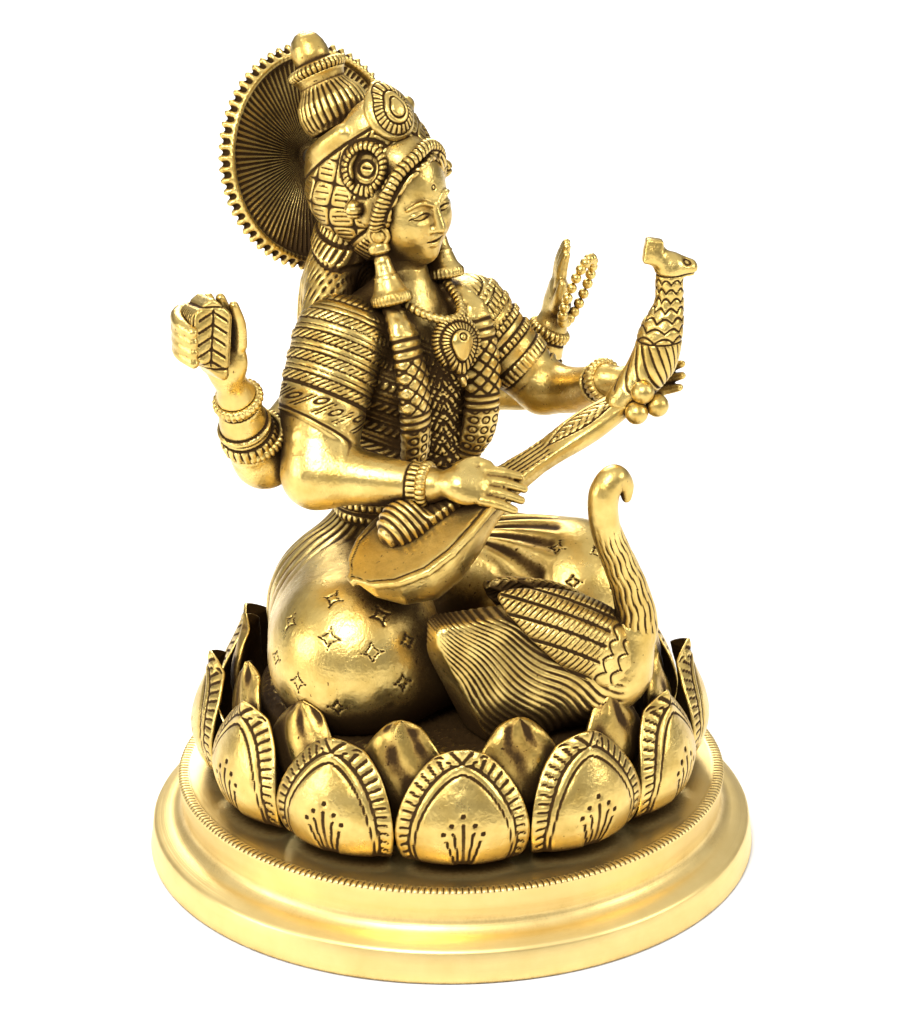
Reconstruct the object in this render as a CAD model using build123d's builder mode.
"""Seated four-armed goddess playing a veena on a lotus, with a swan at her knee: a cast-brass table figure.

Millimetres. +Z is up, the figure faces -Y and her left side is +X. The origin is the centre of the plinth's
underside. The castings are fixed together by pegs, studs and a tie bolt, as the real figure is.
"""

import os
from math import sqrt

from build123d import *

# ---- driving dimensions ----
BASE_RADIUS = 65.0  # outside of the turned plinth
PLINTH_HEIGHT = 17.5  # table to the plinth's top face
TIER_HEIGHT = 7.2  # lower step of the plinth
UPPER_TIER_RADIUS = 58.7
WALL = 4.0  # metal thickness of the hollow castings
SEAT_TOP = 38.0  # table to the flower's seed pad
SEAT_RADIUS = 42.0
LOTUS_RADIUS = 54.6  # widest point of the outer petals
PETALS = 12  # in each of the two rows
PETAL_PITCH = 360 / PETALS
FRONT_PETAL_ANGLE = 232.5  # an outer petal stands here, an inner one half a pitch away
HALO_RADIUS = 24.0
HALO_TEETH = 60
BOLT_RADIUS = 3.0  # M6 tie bolt
STUD_RADIUS = 1.5  # M3 studs and pins
CLEAR = 0.05  # radial clearance of pegs, studs and pins in their holes
GAP = 0.04  # air between castings that only touch
JOINT_STEP = 0.96  # a limb's next length starts this much thinner than the ball before it

# ---- skeleton: joints of the body, x to her left, -y to the front ----
HIP = (0, 21, 52)
KNEE_RIGHT = (-28, -1, 54)
KNEE_LEFT = (30, -7, 54)
ANKLE_RIGHT = (8, -14, 45)
ANKLE_LEFT = (-6, -4, 46)
NECK = (0, 14, 121)
HEAD = (0, 15, 138.5)
SHOULDER_RIGHT = (-17, 14, 112)
ELBOW_RIGHT = (-30, 6, 88)
WRIST_RIGHT = (-14, -11, 87.5)
PALM_RIGHT = (-7, -17, 87)
SHOULDER_LEFT = (17, 13, 111)
ELBOW_LEFT = (31, 3, 93)
WRIST_LEFT = (26, -19, 101)
PALM_LEFT = (29, -26, 104)
REAR_SHOULDER_RIGHT = (-16, 22, 99)
REAR_ELBOW_RIGHT = (-34, 18, 90)
REAR_WRIST_RIGHT = (-43, 14, 106)
REAR_PALM_RIGHT = (-47.5, 12, 115)
REAR_SHOULDER_LEFT = (16, 22, 99)
REAR_ELBOW_LEFT = (35, 17, 90)
REAR_WRIST_LEFT = (39.5, 13, 103)
REAR_PALM_LEFT = (41.5, 12, 111)
CROWN_BASE = (0, 18, 141)
CROWN_AXIS = (-0.13, 0.62, 0.77)
HALO_CENTRE = (-1, 44, 142.5)
HALO_AXIS = (0, 0.98, -0.2)  # points away from her back
VEENA_FOOT = (-34, -14, 75)  # round end of the sound bowl
VEENA_NUT = (22, -33.5, 105)  # top of the fretted neck
SWAN_CHEST = (8, -35, 49)
SWAN_TAIL = (-20, -27.5, 53)


def point_on(start, end, share):
    """The point that lies a share of the way from start to end."""
    return Vector(*start) + (Vector(*end) - Vector(*start)) * share


def capsule(start, start_radius, end, end_radius):
    """A tapered bar with a ball at each end, its sides tangent to both balls."""
    along = Vector(*end) - Vector(*start)
    length = along.length
    sine = (start_radius - end_radius) / length
    cosine = sqrt(1 - sine**2)
    with BuildPart() as bar:
        with BuildSketch(Plane.XZ):
            with BuildLine():
                ball_side = (start_radius * cosine, start_radius * sine)
                tip_side = (end_radius * cosine, length + end_radius * sine)
                RadiusArc((0, -start_radius), ball_side, -start_radius)
                Line(ball_side, tip_side)
                RadiusArc(tip_side, (0, length + end_radius), -end_radius)
                Line((0, length + end_radius), (0, -start_radius))
            make_face()
        revolve(axis=Axis.Z)
    return bar.part.moved(Plane(origin=start, z_dir=along).location)


def limb(*stations):
    """A round limb with ball joints: each station is a centre and a radius."""
    with BuildPart() as chain:
        for (start, start_radius), (end, end_radius) in zip(stations, stations[1:]):
            add(capsule(start, start_radius * JOINT_STEP, end, end_radius))
    return chain.part


def egg(centre, radii):
    """An ellipsoid with its axes along X, Y and Z."""
    with BuildPart() as ball:
        Sphere(1)
        scale(by=radii)
    return ball.part.moved(Location(centre))


def rod(start, end, radius):
    """A plain round bar, for studs, pins and the holes they sit in."""
    along = Vector(*end) - Vector(*start)
    with BuildPart() as bar:
        with BuildSketch(Plane(origin=start, z_dir=along)):
            Circle(radius)
        extrude(amount=along.length)
    return bar.part


def stack(*sections):
    """A body lofted through horizontal ellipses: each section is height, y, x radius and y radius."""
    with BuildPart() as body:
        for height, y, x_radius, y_radius in sections:
            with BuildSketch(Plane(origin=(0, y, height))):
                Ellipse(x_radius, y_radius)
        loft()
    return body.part


def largest(part):
    """The biggest solid of a cut part, without the crumbs a trim can leave."""
    return part.solids().sort_by(SortBy.VOLUME)[-1]


def seated(part, *neighbours):
    """A casting with its neighbours' shapes cut away, so that it beds against them."""
    with BuildPart() as trimmed:
        add(part)
        for neighbour in neighbours:
            add(neighbour, mode=Mode.SUBTRACT)
    return largest(trimmed.part)


def hand(palm, wrist, tip, palm_radius, spread_dir):
    """A palm with four fingers and a thumb, reaching from the wrist through the palm to the fingertips."""
    knuckle = point_on(palm, tip, 0.3)
    spread = Vector(*spread_dir).normalized()
    fingers = [
        limb(
            (tuple(knuckle + spread * offset), 1.5),
            (tuple(Vector(*tip) + spread * offset * 0.8), 1.1),
        )
        for offset in (-3.3, -1.1, 1.1, 3.3)
    ]
    thumb = limb(
        (tuple(Vector(*palm) - spread * palm_radius * 0.7), 1.6),
        (tuple(Vector(*knuckle) - spread * palm_radius * 1.25), 1.2),
    )
    blade = limb((wrist, palm_radius * 0.75), (palm, palm_radius), (tuple(knuckle), palm_radius * 0.7))
    with BuildPart() as whole:
        add(blade)
        add(thumb)
        for finger in fingers:
            add(finger)
    return whole.part


def bangle(start, end, share, limb_radius):
    """A ring round a limb, at a share of the way along it."""
    along = Vector(*end) - Vector(*start)
    with BuildPart() as ring:
        with BuildSketch(Plane(origin=tuple(point_on(start, end, share)), z_dir=along)):
            Circle(limb_radius + 1.0)
            Circle(limb_radius + GAP, mode=Mode.SUBTRACT)
        extrude(amount=1.25, both=True)
        chamfer(ring.edges().filter_by(GeomType.CIRCLE).sort_by(SortBy.RADIUS)[-2:], 0.4)
    return ring.part


# ---- plinth: a turned, hollow, two-step base ----
with BuildPart() as plinth:
    with BuildSketch(Plane.XZ):
        with BuildLine():
            Polyline(
                (0, PLINTH_HEIGHT - WALL),
                (UPPER_TIER_RADIUS - WALL, PLINTH_HEIGHT - WALL),
                (UPPER_TIER_RADIUS - WALL, TIER_HEIGHT - 2),
                (BASE_RADIUS - WALL, TIER_HEIGHT - 4),
                (BASE_RADIUS - WALL, 0),
                (BASE_RADIUS - 0.5, 0),
                (BASE_RADIUS, 0.8),
                (BASE_RADIUS - 0.6, TIER_HEIGHT - 0.6),
                (BASE_RADIUS - 1.4, TIER_HEIGHT),
                (UPPER_TIER_RADIUS + 2.4, TIER_HEIGHT + 0.8),
            )
            ThreePointArc(
                (UPPER_TIER_RADIUS + 2.4, TIER_HEIGHT + 0.8),
                (UPPER_TIER_RADIUS + 0.1, TIER_HEIGHT + 1.8),
                (UPPER_TIER_RADIUS - 0.9, TIER_HEIGHT + 4),
            )
            Polyline(
                (UPPER_TIER_RADIUS - 0.9, TIER_HEIGHT + 4),
                (UPPER_TIER_RADIUS, PLINTH_HEIGHT - 1),
                (UPPER_TIER_RADIUS - 0.6, PLINTH_HEIGHT),
                (0, PLINTH_HEIGHT),
                (0, PLINTH_HEIGHT - WALL),
            )
        make_face()
    revolve(axis=Axis.Z)
    with Locations((0, 0, PLINTH_HEIGHT)):
        Hole(BOLT_RADIUS + 0.3, depth=WALL)
plinth.part.label = "plinth"

# ---- tie bolt and washer, in the plinth's hollow ----
BOLT_FACE = PLINTH_HEIGHT - WALL - 1.2  # underside of the washer
with BuildPart() as tie_washer:
    with BuildSketch(Plane.XY.offset(BOLT_FACE)):
        Circle(9)
        Circle(BOLT_RADIUS + 0.3, mode=Mode.SUBTRACT)
    extrude(amount=1.2 - GAP)
tie_washer.part.label = "tie_washer"

with BuildPart() as tie_bolt:
    with BuildSketch(Plane.XY.offset(BOLT_FACE - GAP)):
        RegularPolygon(radius=5.0, side_count=6, major_radius=False)
    extrude(amount=-4)
    with BuildSketch(Plane.XY.offset(BOLT_FACE - GAP)):
        Circle(BOLT_RADIUS)
    extrude(amount=21)
    chamfer(tie_bolt.faces().sort_by(Axis.Z)[-1].edges(), 0.6)
tie_bolt.part.label = "tie_bolt"

# ---- lotus seat: a hollow cup with the seed pad on top and a tapped boss below ----
FIGURE_PEG = (0, 20, SEAT_TOP)
SWAN_PEG = (-1, -30, SEAT_TOP)
PEG_RADIUS = 4.0
with BuildPart() as lotus_seat:
    with BuildSketch(Plane.XZ):
        with BuildLine():
            Polyline(
                (SEAT_RADIUS - 2, PLINTH_HEIGHT + GAP),
                (BOLT_RADIUS + 6, PLINTH_HEIGHT + GAP),
                (0, PLINTH_HEIGHT + GAP),
                (0, SEAT_TOP),
                (SEAT_RADIUS - 4, SEAT_TOP),
                (SEAT_RADIUS - 1.5, SEAT_TOP - 2),
            )
            ThreePointArc(
                (SEAT_RADIUS - 1.5, SEAT_TOP - 2),
                (SEAT_RADIUS, SEAT_TOP - 11),
                (SEAT_RADIUS - 2, PLINTH_HEIGHT + GAP),
            )
        make_face()
    revolve(axis=Axis.Z)
    with BuildSketch(Plane.XY.offset(PLINTH_HEIGHT + GAP)):
        Circle(SEAT_RADIUS - 2 - WALL)
        Circle(BOLT_RADIUS + 5, mode=Mode.SUBTRACT)
    extrude(amount=SEAT_TOP - PLINTH_HEIGHT - 8, mode=Mode.SUBTRACT)
    with Locations(Location((0, 0, PLINTH_HEIGHT), (180, 0, 0))):
        Hole(BOLT_RADIUS + CLEAR, depth=18)
    with Locations(FIGURE_PEG):
        Hole(PEG_RADIUS + CLEAR, depth=5)
    with Locations(SWAN_PEG):
        Hole(STUD_RADIUS + CLEAR, depth=6)
lotus_seat.part.label = "lotus_seat"


def petal_row(profile, outline, first_angle):
    """A ring of petals: one slice of a turned shell, trimmed to a petal outline and repeated round the flower."""
    (foot_in, foot_out), (belly_in, belly_out), (tip_in, tip_out) = profile
    with BuildPart() as petal:
        with BuildSketch(Plane.XZ):
            with BuildLine():
                ThreePointArc(foot_out, belly_out, tip_out)
                Line(tip_out, tip_in)
                ThreePointArc(tip_in, belly_in, foot_in)
                Line(foot_in, foot_out)
            make_face()
        revolve(axis=Axis.Z, revolution_arc=PETAL_PITCH * 1.4)
        petal.part = petal.part.rotate(Axis.Z, -PETAL_PITCH * 0.7)
        with BuildSketch(Plane.YZ):
            with BuildLine():
                (foot_y, foot_z), (side_y, side_z), tip_z = outline
                Line((-foot_y, foot_z), (foot_y, foot_z))
                ThreePointArc((foot_y, foot_z), (side_y * 0.9, (foot_z + side_z) / 2), (side_y, side_z))
                ThreePointArc((side_y, side_z), (side_y * 0.62, side_z + (tip_z - side_z) * 0.74), (0, tip_z))
                mirror(about=Plane.YZ)
            make_face()
        extrude(amount=BASE_RADIUS, mode=Mode.INTERSECT)
        add(lotus_seat.part, mode=Mode.SUBTRACT)
    with BuildPart() as row:
        with PolarLocations(0, PETALS, start_angle=first_angle):
            add(petal.part)
    return row.part


# ---- petals: outer row bellies out over the plinth, inner row leans in over the pad ----
outer_petals = petal_row(
    (
        ((SEAT_RADIUS - 3.0, PLINTH_HEIGHT + 3.2), (SEAT_RADIUS - 0.5, PLINTH_HEIGHT + 0.4)),
        ((LOTUS_RADIUS - 4, 29), (LOTUS_RADIUS, 29)),
        ((LOTUS_RADIUS - 7, 44), (LOTUS_RADIUS - 5, 44)),
    ),
    ((8.4, PLINTH_HEIGHT + 0.2), (11.9, 29.5), 44),
    FRONT_PETAL_ANGLE,
)
outer_petals.label = "outer_petals"

inner_petals = petal_row(
    (
        ((SEAT_RADIUS - 2.0, 27), (SEAT_RADIUS + 1.2, 25)),
        ((SEAT_RADIUS + 0.4, 35), (SEAT_RADIUS + 3.4, 35)),
        ((SEAT_RADIUS - 4.5, 46), (SEAT_RADIUS - 2, 47)),
    ),
    ((7.5, 24), (8.6, 34), 47),
    FRONT_PETAL_ANGLE + PETAL_PITCH / 2,
)
inner_petals.label = "inner_petals"

# ---- head and crown blanks, needed before the torso is bored for the neck ----
CHIN = (2, 7, 130)
head_blank = limb((NECK, 5.0), ((0, 15, 130), 4.6))
neck_peg = rod((0, 14, 114), NECK, 3.0)
skull = egg(HEAD, (9.6, 11.0, 12.6))
jaw = limb(((1, 11, 134), 7.4), (CHIN, 3.4))
nose = limb(((3.4, 4.6, 139), 0.8), ((3.9, 3.4, 135.4), 1.4))
ears = [egg((side * 9.4, 15, 135.5), (1.6, 2.6, 4.2)) for side in (-1, 1)]
with BuildPart() as head_form:
    add(head_blank)
    add(neck_peg)
    add(skull)
    add(jaw)
    add(nose)
    for ear in ears:
        add(ear)

crown_line = Vector(*CROWN_AXIS).normalized()


def on_crown(height):
    """A plane square to the crown's axis, that far above its rim."""
    return Plane(
        origin=tuple(Vector(*CROWN_BASE) + crown_line * height),
        x_dir=(1, 0, 0.13 / 0.77),
        z_dir=tuple(crown_line),
    )


with BuildPart() as crown_form:
    for height, radius in ((-1, 11.8), (6, 12.2), (12, 11.4), (18, 8.6)):
        with BuildSketch(on_crown(height)):
            Circle(radius)
    loft()
# The front plate stands up from the brow, as a pointed leaf.
with BuildPart() as brow_plate:
    with BuildSketch(Plane(origin=(-1.5, 12.5, 155), x_dir=(1, 0, 0.1), z_dir=(-0.08, -0.82, 0.56))):
        with BuildLine():
            ThreePointArc((0, 10), (5.6, 5), (6.5, -1))
            ThreePointArc((6.5, -1), (4.4, -5.6), (0, -7))
            mirror(about=Plane.YZ)
        make_face()
    extrude(amount=1.2, both=True)
brow_plate = brow_plate.part

# ---- arms: the front pair plays, the rear pair holds the book and the beads ----
arm_front_right = limb((SHOULDER_RIGHT, 8.6), (ELBOW_RIGHT, 6.6), (WRIST_RIGHT, 4.0))
arm_front_left = limb((SHOULDER_LEFT, 8.0), (ELBOW_LEFT, 6.2), (WRIST_LEFT, 3.6))
arm_rear_left = limb((REAR_SHOULDER_LEFT, 5.8), (REAR_ELBOW_LEFT, 5.4), (REAR_WRIST_LEFT, 3.6))
arm_rear_right = limb((REAR_SHOULDER_RIGHT, 5.8), (REAR_ELBOW_RIGHT, 6.0), (REAR_WRIST_RIGHT, 4.0))

hand_front_right = hand(PALM_RIGHT, WRIST_RIGHT, (2, -21, 85.5), 3.6, (0.55, 0.55, 0.63))
hand_front_left = hand(PALM_LEFT, WRIST_LEFT, (34, -34.5, 109), 3.4, (-0.25, -0.45, 0.86))
hand_rear_left = hand(REAR_PALM_LEFT, REAR_WRIST_LEFT, (43, 12, 121.5), 3.4, (0.94, 0.34, 0))
hand_rear_right = hand(REAR_PALM_RIGHT, REAR_WRIST_RIGHT, (-47, 12, 127), 3.8, (0.35, 0.94, 0))


def arm(limb_part, hand_part, label):
    """One arm casting: the limb and its hand."""
    with BuildPart() as whole:
        add(limb_part)
        add(hand_part)
    whole.part.label = label
    return whole.part


arm_front_right = arm(arm_front_right, hand_front_right, "arm_front_right")
arm_front_left = arm(arm_front_left, hand_front_left, "arm_front_left")
arm_rear_right = arm(arm_rear_right, hand_rear_right, "arm_rear_right")
arm_rear_left = arm(arm_rear_left, hand_rear_left, "arm_rear_left")
arm_rear_right = seated(arm_rear_right, arm_front_right)
arm_rear_right.label = "arm_rear_right"
arm_rear_left = seated(arm_rear_left, arm_front_left)
arm_rear_left.label = "arm_rear_left"
ARMS = (arm_front_right, arm_front_left, arm_rear_right, arm_rear_left)

# ---- torso: waist to shoulders, with sockets for the arms and the neck ----
torso_form = stack(
    (62, 21, 9.0, 8.0),
    (68, 21, 12.5, 10.0),
    (78, 20, 12.0, 9.6),
    (92, 17, 15.5, 12.0),
    (104, 15, 18.5, 13.0),
    (113, 14.5, 16.5, 10.5),
    (119, 14, 8.0, 7.0),
    (123, 14, 5.6, 5.4),
)
torso = seated(torso_form, head_form.part, *ARMS)
torso.label = "torso"

# ---- legs and skirt: crossed legs under a gathered dhoti, flat where they sit on the pad ----
hips = egg(HIP, (27, 18, 19))
thigh_right = limb(((-13, 20, 51), 16.0), (KNEE_RIGHT, 16.6))
thigh_left = limb(((13, 20, 51), 16.0), (KNEE_LEFT, 15.4))
shin_right = limb((KNEE_RIGHT, 12.0), (ANKLE_RIGHT, 6.5))
shin_left = limb((KNEE_LEFT, 12.0), (ANKLE_LEFT, 6.5))
with BuildPart() as legs:
    for piece in (hips, thigh_right, thigh_left, shin_right, shin_left):
        add(piece)
    split(bisect_by=Plane.XY.offset(SEAT_TOP + GAP), keep=Keep.TOP)
    with Locations(Location((*FIGURE_PEG[:2], SEAT_TOP - 4.5))):
        Cylinder(PEG_RADIUS, 6, align=(Align.CENTER, Align.CENTER, Align.MIN))
    for neighbour in (torso_form, inner_petals, *ARMS):
        add(neighbour, mode=Mode.SUBTRACT)
legs_and_skirt = largest(legs.part)
legs_and_skirt.label = "legs_and_skirt"

# ---- hair that falls down her back ----
hair_form = stack(
    (86, 31, 8.0, 3.0),
    (94, 30.5, 12.5, 5.0),
    (108, 29.5, 13.5, 6.0),
    (120, 27, 10.5, 6.4),
    (132, 25.5, 8.5, 6.0),
)

# ---- halo: a dished disc with a beaded edge, on a stud behind the crown ----
halo_plane = Plane(origin=HALO_CENTRE, x_dir=(1, 0, 0), z_dir=HALO_AXIS)
HALO_THICKNESS = 1.6
with BuildPart() as halo:
    with BuildSketch(Plane.XZ):
        with BuildLine():
            ThreePointArc((0, 0), (HALO_RADIUS * 0.5, -0.7), (HALO_RADIUS - 3, -2.6))
            Polyline(
                (HALO_RADIUS - 3, -2.6),
                (HALO_RADIUS - 2.4, -3.2),
                (HALO_RADIUS - 0.6, -2.8),
                (HALO_RADIUS, -1.6),
                (HALO_RADIUS - 1.2, -0.4),
                (HALO_RADIUS - 3, -0.8),
            )
            ThreePointArc(
                (HALO_RADIUS - 3, -0.8),
                (HALO_RADIUS * 0.5, HALO_THICKNESS - 0.7),
                (0, HALO_THICKNESS),
            )
            Line((0, HALO_THICKNESS), (0, 0))
        make_face()
    revolve(axis=Axis.Z)
    with PolarLocations(HALO_RADIUS + 0.35, HALO_TEETH):
        Cylinder(0.8, 10, mode=Mode.SUBTRACT)
    Hole(STUD_RADIUS + CLEAR)
halo = halo.part.moved(halo_plane.location)
halo.label = "halo"

halo_line = Vector(*HALO_AXIS).normalized()
stud_start = tuple(Vector(*HALO_CENTRE) - halo_line * 14)
stud_end = tuple(Vector(*HALO_CENTRE) + halo_line * 4.6)
halo_stud = rod(stud_start, stud_end, STUD_RADIUS)
halo_stud.label = "halo_stud"
stud_bore = rod(stud_start, stud_end, STUD_RADIUS + CLEAR)

with BuildPart() as halo_nut:
    with BuildSketch(halo_plane.offset(HALO_THICKNESS + GAP)):
        RegularPolygon(radius=2.75, side_count=6, major_radius=False)
        Circle(STUD_RADIUS + CLEAR, mode=Mode.SUBTRACT)
    extrude(amount=2.4)
halo_nut.part.label = "halo_nut"

# ---- crown, its plate and the finial that screws into its top ----
with BuildPart() as finial:
    with BuildSketch(Plane.XZ):
        with BuildLine():
            Polyline((0, -3), (2.0, -3), (2.0, 0), (7.4, 0))
            ThreePointArc((7.4, 0), (8.2, 4), (6.0, 7.6))
            Polyline(
                (6.0, 7.6),
                (5.2, 8.8),
                (6.6, 9.6),
                (6.6, 11.2),
                (4.2, 11.8),
                (3.0, 12.4),
                (3.4, 15),
            )
            RadiusArc((3.4, 15), (0, 18.4), -3.4)
            Line((0, 18.4), (0, -3))
        make_face()
    revolve(axis=Axis.Z)
finial_seat = on_crown(18)
crown_finial = finial.part.moved(finial_seat.location)

crown_hood = seated(crown_form.part, head_form.part, stud_bore, crown_finial)
crown_hood.label = "crown"
crown_plate = seated(brow_plate, crown_form.part, head_form.part)
crown_plate.label = "crown_plate"
head = seated(head_form.part, stud_bore)
head.label = "head"
crown_finial.label = "crown_finial"
hair_fall = seated(hair_form, torso_form, head_form.part, crown_form.part, halo, stud_bore, *ARMS)
hair_fall.label = "hair_fall"

# ---- earrings: bell drops below each ear ----
with BuildPart() as earring:
    with BuildSketch(Plane.XZ):
        with BuildLine():
            Polyline((0, 0), (1.6, 0), (1.6, -2), (0.9, -2.6))
            ThreePointArc((0.9, -2.6), (1.6, -6), (3.2, -8.4))
            Polyline((3.2, -8.4), (3.2, -9.6), (1.6, -10), (1.6, -11.6), (0, -12.2), (0, 0))
        make_face()
    revolve(axis=Axis.Z)
with BuildPart() as earrings:
    for spot in ((-11.6, 13, 131.5), (11.6, 13, 131.5)):
        add(earring.part.moved(Location(spot)))
    for solid in (torso_form, head_form.part, *ARMS):
        add(solid, mode=Mode.SUBTRACT)
earrings.part.label = "earrings"

# ---- garland and pendant on the chest ----
STRAND = ((8, 12, 119, 2.4), (10, 2.4, 112, 3.0), (9, -0.5, 102, 3.4), (8, 3, 90, 3.2), (6, 9.5, 78, 2.6))
strands = [limb(*(((side * x, y, z), radius) for x, y, z, radius in STRAND)) for side in (-1, 1)]
with BuildPart() as garland:
    for strand in strands:
        add(seated(strand, torso_form, head_form.part, earrings.part, *ARMS))
garland.part.label = "garland"

with BuildPart() as pendant_form:
    with BuildSketch(Plane(origin=(0, -0.6, 110), x_dir=(1, 0, 0), z_dir=(0, -0.95, 0.3))):
        with BuildLine():
            ThreePointArc((0, 6.5), (4.6, 3.5), (4.4, 0))
            ThreePointArc((4.4, 0), (3.0, -4.6), (0, -8.5))
            mirror(about=Plane.YZ)
        make_face()
    extrude(amount=1.2, both=True)
pendant = seated(pendant_form.part, torso_form, garland.part)
pendant.label = "pendant"

# ---- bangles: rings on the wrists and forearms ----
with BuildPart() as bangles:
    add(bangle(ELBOW_RIGHT, WRIST_RIGHT, 0.9, 4.3))
    add(bangle(ELBOW_LEFT, WRIST_LEFT, 0.9, 3.9))
    add(bangle(REAR_ELBOW_LEFT, REAR_WRIST_LEFT, 0.8, 4.0))
    add(bangle(REAR_ELBOW_RIGHT, REAR_WRIST_RIGHT, 0.85, 4.4))
    add(bangle(REAR_ELBOW_RIGHT, REAR_WRIST_RIGHT, 0.4, 5.3))
    for arm_part in ARMS:
        add(arm_part, mode=Mode.SUBTRACT)
bangles.part.label = "bangles"

# ---- veena: a bowl with a flat soundboard, a neck, a bridge, pegs and a curved head ----
veena_line = (Vector(*VEENA_NUT) - Vector(*VEENA_FOOT)).normalized()
board_edge = Vector(0.52, 0.72, -0.47)  # across the soundboard, away from the front
board = Plane(origin=VEENA_FOOT, x_dir=tuple(veena_line), z_dir=tuple(veena_line.cross(board_edge)))
BOWL_LENGTH, BOWL_RADIUS = 34.0, 11.0
NECK_LENGTH = (Vector(*VEENA_NUT) - Vector(*VEENA_FOOT)).length
with BuildPart() as veena:
    with BuildSketch(Plane.XY):
        with BuildLine():
            ThreePointArc((0, 0), (3.2, BOWL_RADIUS * 0.72), (BOWL_RADIUS, BOWL_RADIUS))
            ThreePointArc((BOWL_RADIUS, BOWL_RADIUS), (BOWL_LENGTH * 0.7, BOWL_RADIUS * 0.72), (BOWL_LENGTH, 2.6))
            Line((BOWL_LENGTH, 2.6), (BOWL_LENGTH, 0))
            Line((BOWL_LENGTH, 0), (0, 0))
        make_face()
    revolve(axis=Axis.X, revolution_arc=360)
    split(bisect_by=Plane.XY, keep=Keep.BOTTOM)
    with BuildSketch(Plane.YZ.offset(BOWL_LENGTH - 6)):
        with Locations((0, -1.6)):
            Ellipse(3.6, 2.4)
    with BuildSketch(Plane.YZ.offset(NECK_LENGTH)):
        with Locations((0, -1.6)):
            Ellipse(3.2, 2.4)
    loft()
veena_form = veena.part.moved(board.location)

with BuildPart() as bridge:
    with BuildSketch(Plane.YZ.offset(BOWL_RADIUS - 2)):
        with BuildLine():
            Line((-5, GAP), (5, GAP))
            Line((5, GAP), (4.4, 2.4))
            ThreePointArc((4.4, 2.4), (0, 6.0), (-4.4, 2.4))
            Line((-4.4, 2.4), (-5, GAP))
        make_face()
    extrude(amount=5.5)
veena_bridge = bridge.part.moved(board.location)

with BuildPart() as pegs:
    for along, across, above in ((-7.5, -5.2, 0), (-2.2, -5.4, 0.8), (-4.8, -6.0, 4.4)):
        with Locations((NECK_LENGTH + along, across, above)):
            Sphere(2.6)
veena_pegs = pegs.part.moved(board.location)

veena_head = limb(
    (tuple(Vector(*VEENA_NUT) + veena_line * 5.2), 4.8),
    ((24.5, -35.5, 114.5), 4.4),
    ((27, -36, 122), 3.0),
    ((27, -36, 130.5), 2.8),
    ((30, -37.5, 131), 2.6),
)

# ---- book and rosary in the rear hands ----
with BuildPart() as book:
    with BuildSketch(Plane(origin=(-54.5, 7.5, 121), x_dir=(0.35, -0.94, 0), z_dir=(-0.94, -0.35, 0.15))):
        RectangleRounded(11, 19, 2.2)
    extrude(amount=2.6, both=True)
manuscript = seated(book.part, arm_rear_right, bangles.part)
manuscript.label = "manuscript"

with BuildPart() as beads:
    with BuildSketch(Plane.XZ):
        with Locations((5.2, 0)):
            Circle(0.55)
    revolve(axis=Axis.Z)
    with PolarLocations(5.2, 18):
        Sphere(1.0)
rosary_plane = Plane(origin=(42, 6.4, 112), x_dir=(0.94, 0.34, 0), z_dir=(0.2, -0.9, 0.3))
rosary = seated(beads.part.moved(rosary_plane.location), arm_rear_left, bangles.part)
rosary.label = "rosary"

# ---- swan: body with a fanned tail, two wings, and a neck casting with the head ----
with BuildPart() as swan:
    add(limb((SWAN_CHEST, 10.0), ((-4, -31, 50), 11.0), ((-12, -29.5, 51), 9.5), (SWAN_TAIL, 7.0)))
    split(bisect_by=Plane.XY.offset(SEAT_TOP + GAP), keep=Keep.TOP)
swan_form = largest(swan.part)

swan_neck_form = limb(
    ((12.5, -38, 54), 5.6),
    ((13.5, -40.5, 62), 4.0),
    ((10, -41, 72), 3.2),
    ((4.5, -41.5, 82), 3.0),
    ((2.6, -41.8, 90), 3.2),
    ((5.2, -43.2, 90.5), 2.4),
    ((7.0, -44.0, 87.2), 1.1),
)


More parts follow.
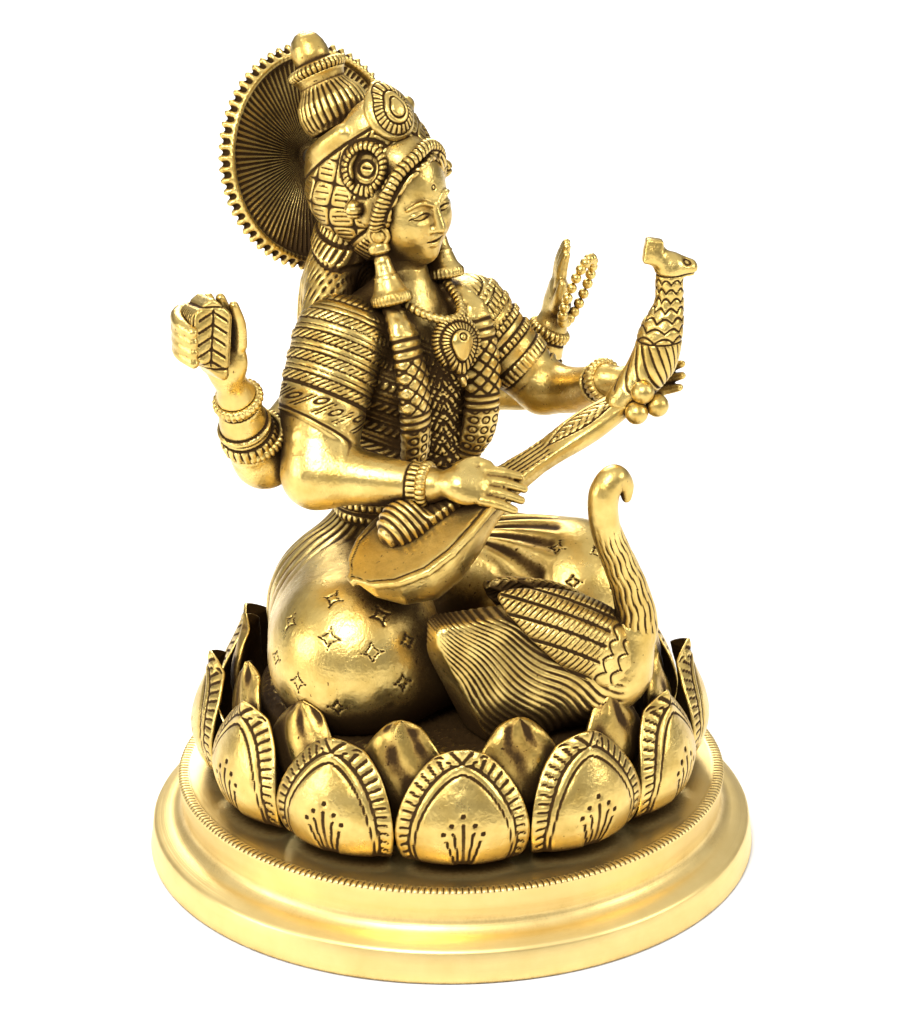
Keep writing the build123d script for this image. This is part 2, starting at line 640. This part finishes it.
def swan_wing(side):
    """One folded wing: a flattened leaf along the body's flank."""
    across = Vector(0.4, 0.92, 0) * side
    with BuildPart() as wing:
        Sphere(1)
        scale(by=(15, 2.6, 8.5))
    centre = Vector(-3, -32, 58) + across * 8.6
    plane = Plane(origin=tuple(centre), x_dir=(-0.88, 0.35, 0.3), z_dir=(-0.27, 0.1, 0.96))
    return wing.part.moved(plane.location)


swan_rivet = rod((*SWAN_PEG[:2], SEAT_TOP - 5.5), (*SWAN_PEG[:2], SEAT_TOP + 6), STUD_RADIUS)
swan_rivet.label = "swan_rivet"
rivet_bore = rod((*SWAN_PEG[:2], SEAT_TOP - 5.5), (*SWAN_PEG[:2], SEAT_TOP + 6), STUD_RADIUS + CLEAR)

FIGURE = (legs_and_skirt, *ARMS)
swan_neck = seated(swan_neck_form, legs_and_skirt)
swan_neck.label = "swan_neck"
swan_body = seated(swan_form, swan_neck_form, rivet_bore, legs_and_skirt, inner_petals, outer_petals)
swan_body.label = "swan_body"
with BuildPart() as swan_wings:
    for side in (-1, 1):
        add(seated(swan_wing(side), swan_form, swan_neck_form, legs_and_skirt, inner_petals))
swan_wings.part.label = "swan_wings"

veena_body = seated(veena_form, *FIGURE, torso_form, garland.part, bangles.part, swan_neck_form)
veena_body.label = "veena_body"
veena_bridge = seated(veena_bridge, veena_form, torso_form, garland.part, *ARMS)
veena_bridge.label = "veena_bridge"
veena_head = seated(veena_head, veena_form, *ARMS)
veena_head.label = "veena_head"
with BuildPart() as peg_set:
    for peg in veena_pegs.solids():
        add(seated(peg, veena_form, veena_head, swan_neck_form, *ARMS))
peg_set.part.label = "veena_pegs"

# ---- one STEP file per casting or fastener ----
os.makedirs("parts", exist_ok=True)
for piece in (
    plinth.part,
    tie_washer.part,
    tie_bolt.part,
    lotus_seat.part,
    outer_petals,
    inner_petals,
    legs_and_skirt,
    torso,
    hair_fall,
    head,
    crown_hood,
    crown_plate,
    crown_finial,
    halo,
    halo_stud,
    halo_nut.part,
    earrings.part,
    garland.part,
    pendant,
    bangles.part,
    *ARMS,
    manuscript,
    rosary,
    veena_body,
    veena_bridge,
    peg_set.part,
    veena_head,
    swan_body,
    swan_wings.part,
    swan_neck,
    swan_rivet,
):
    export_step(piece, f"parts/{piece.label}.step")
